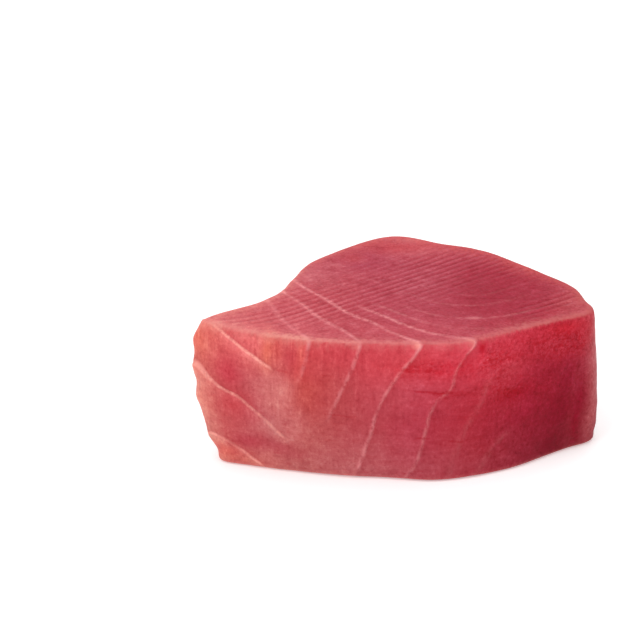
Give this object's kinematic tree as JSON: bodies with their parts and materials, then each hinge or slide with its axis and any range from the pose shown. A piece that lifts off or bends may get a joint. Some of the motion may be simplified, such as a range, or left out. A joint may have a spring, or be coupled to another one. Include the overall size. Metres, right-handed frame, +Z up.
{
  "type": "raw tuna loin portion",
  "caption": "Thick raw tuna loin block, cut flat above and below, wide and rounded at one end and narrowing to a tip at the other.",
  "frame": {"origin": "middle of the block's box in plan, on its flat underside", "axes": "+X along the long side towards the broad end, -Y out of the broad front cut, +Z up through the thickness"},
  "size_m": [0.114, 0.0774, 0.0427],
  "materials": {
    "tuna_flesh": "moist raw red flesh with pale connective lines"
  },
  "bodies": {
    "root": {"tuna_loin": "tuna_flesh"}
  },
  "joints": []
}
